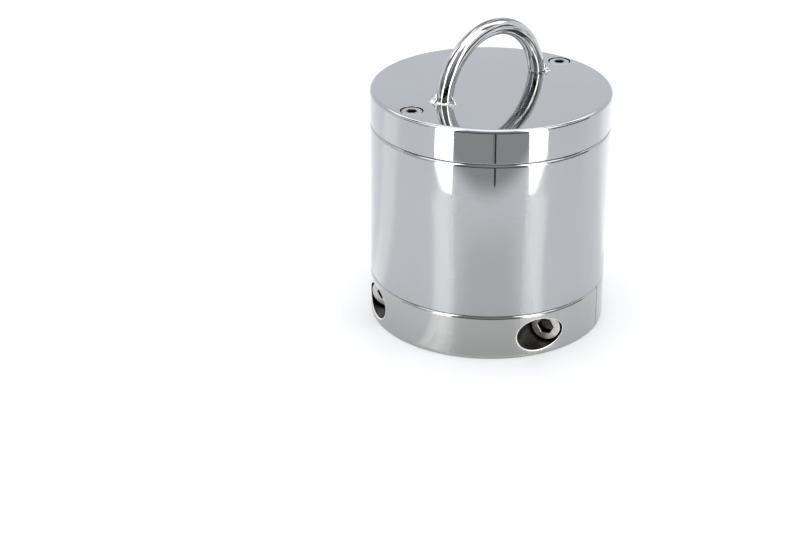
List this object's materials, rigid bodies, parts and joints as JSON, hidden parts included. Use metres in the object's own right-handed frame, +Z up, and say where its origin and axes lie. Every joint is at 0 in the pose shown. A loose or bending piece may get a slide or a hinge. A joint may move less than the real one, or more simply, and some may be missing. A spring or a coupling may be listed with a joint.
{
  "type": "lidded canister",
  "caption": "Polished steel canister with a screwed lid, welded lifting ring and split clamp collar base.",
  "frame": {"origin": "centre of the clamp collar's underside, on the axis of the canister", "axes": "+Z up along the canister's axis; -Y is the front, where the two key pockets of the clamp screws open; the collar's split lies in the XZ plane"},
  "size_m": [0.08, 0.08, 0.1033],
  "materials": {
    "polished_steel": "mirror polished",
    "ring_steel": "polished wire",
    "weld_metal": "bright weld bead",
    "screw_steel": "plain stainless, satin"
  },
  "bodies": {
    "canister": {"body": "polished_steel"},
    "lid_unit": {"lid": "polished_steel", "ring": "ring_steel", "ring_weld_left": "weld_metal", "ring_weld_right": "weld_metal"},
    "lid_screw_left": {"lid_screw_left": "screw_steel"},
    "lid_screw_right": {"lid_screw_right": "screw_steel"},
    "collar_front": {"collar_front": "polished_steel"},
    "collar_rear": {"collar_rear": "polished_steel"},
    "clamp_screw_left": {"clamp_screw_left": "screw_steel"},
    "clamp_screw_right": {"clamp_screw_right": "screw_steel"}
  },
  "joints": [
    {"name": "lid_lift", "type": "slide", "parent": "canister", "child": "lid_unit", "axis": [0, 0, 1], "range_m": [0, 0.04]},
    {"name": "lid_screw_left_out", "type": "slide", "parent": "lid_unit", "child": "lid_screw_left", "axis": [0, 0, 1], "range_m": [0, 0.025]},
    {"name": "lid_screw_right_out", "type": "slide", "parent": "lid_unit", "child": "lid_screw_right", "axis": [0, 0, 1], "range_m": [0, 0.025]},
    {"name": "collar_front_out", "type": "slide", "parent": "canister", "child": "collar_front", "axis": [0, -1, 0], "range_m": [0, 0.03]},
    {"name": "collar_rear_out", "type": "slide", "parent": "canister", "child": "collar_rear", "axis": [0, 1, 0], "range_m": [0, 0.03]},
    {"name": "clamp_screw_left_out", "type": "slide", "parent": "collar_front", "child": "clamp_screw_left", "axis": [0, -1, 0], "range_m": [0, 0.045]},
    {"name": "clamp_screw_right_out", "type": "slide", "parent": "collar_front", "child": "clamp_screw_right", "axis": [0, -1, 0], "range_m": [0, 0.045]}
  ]
}
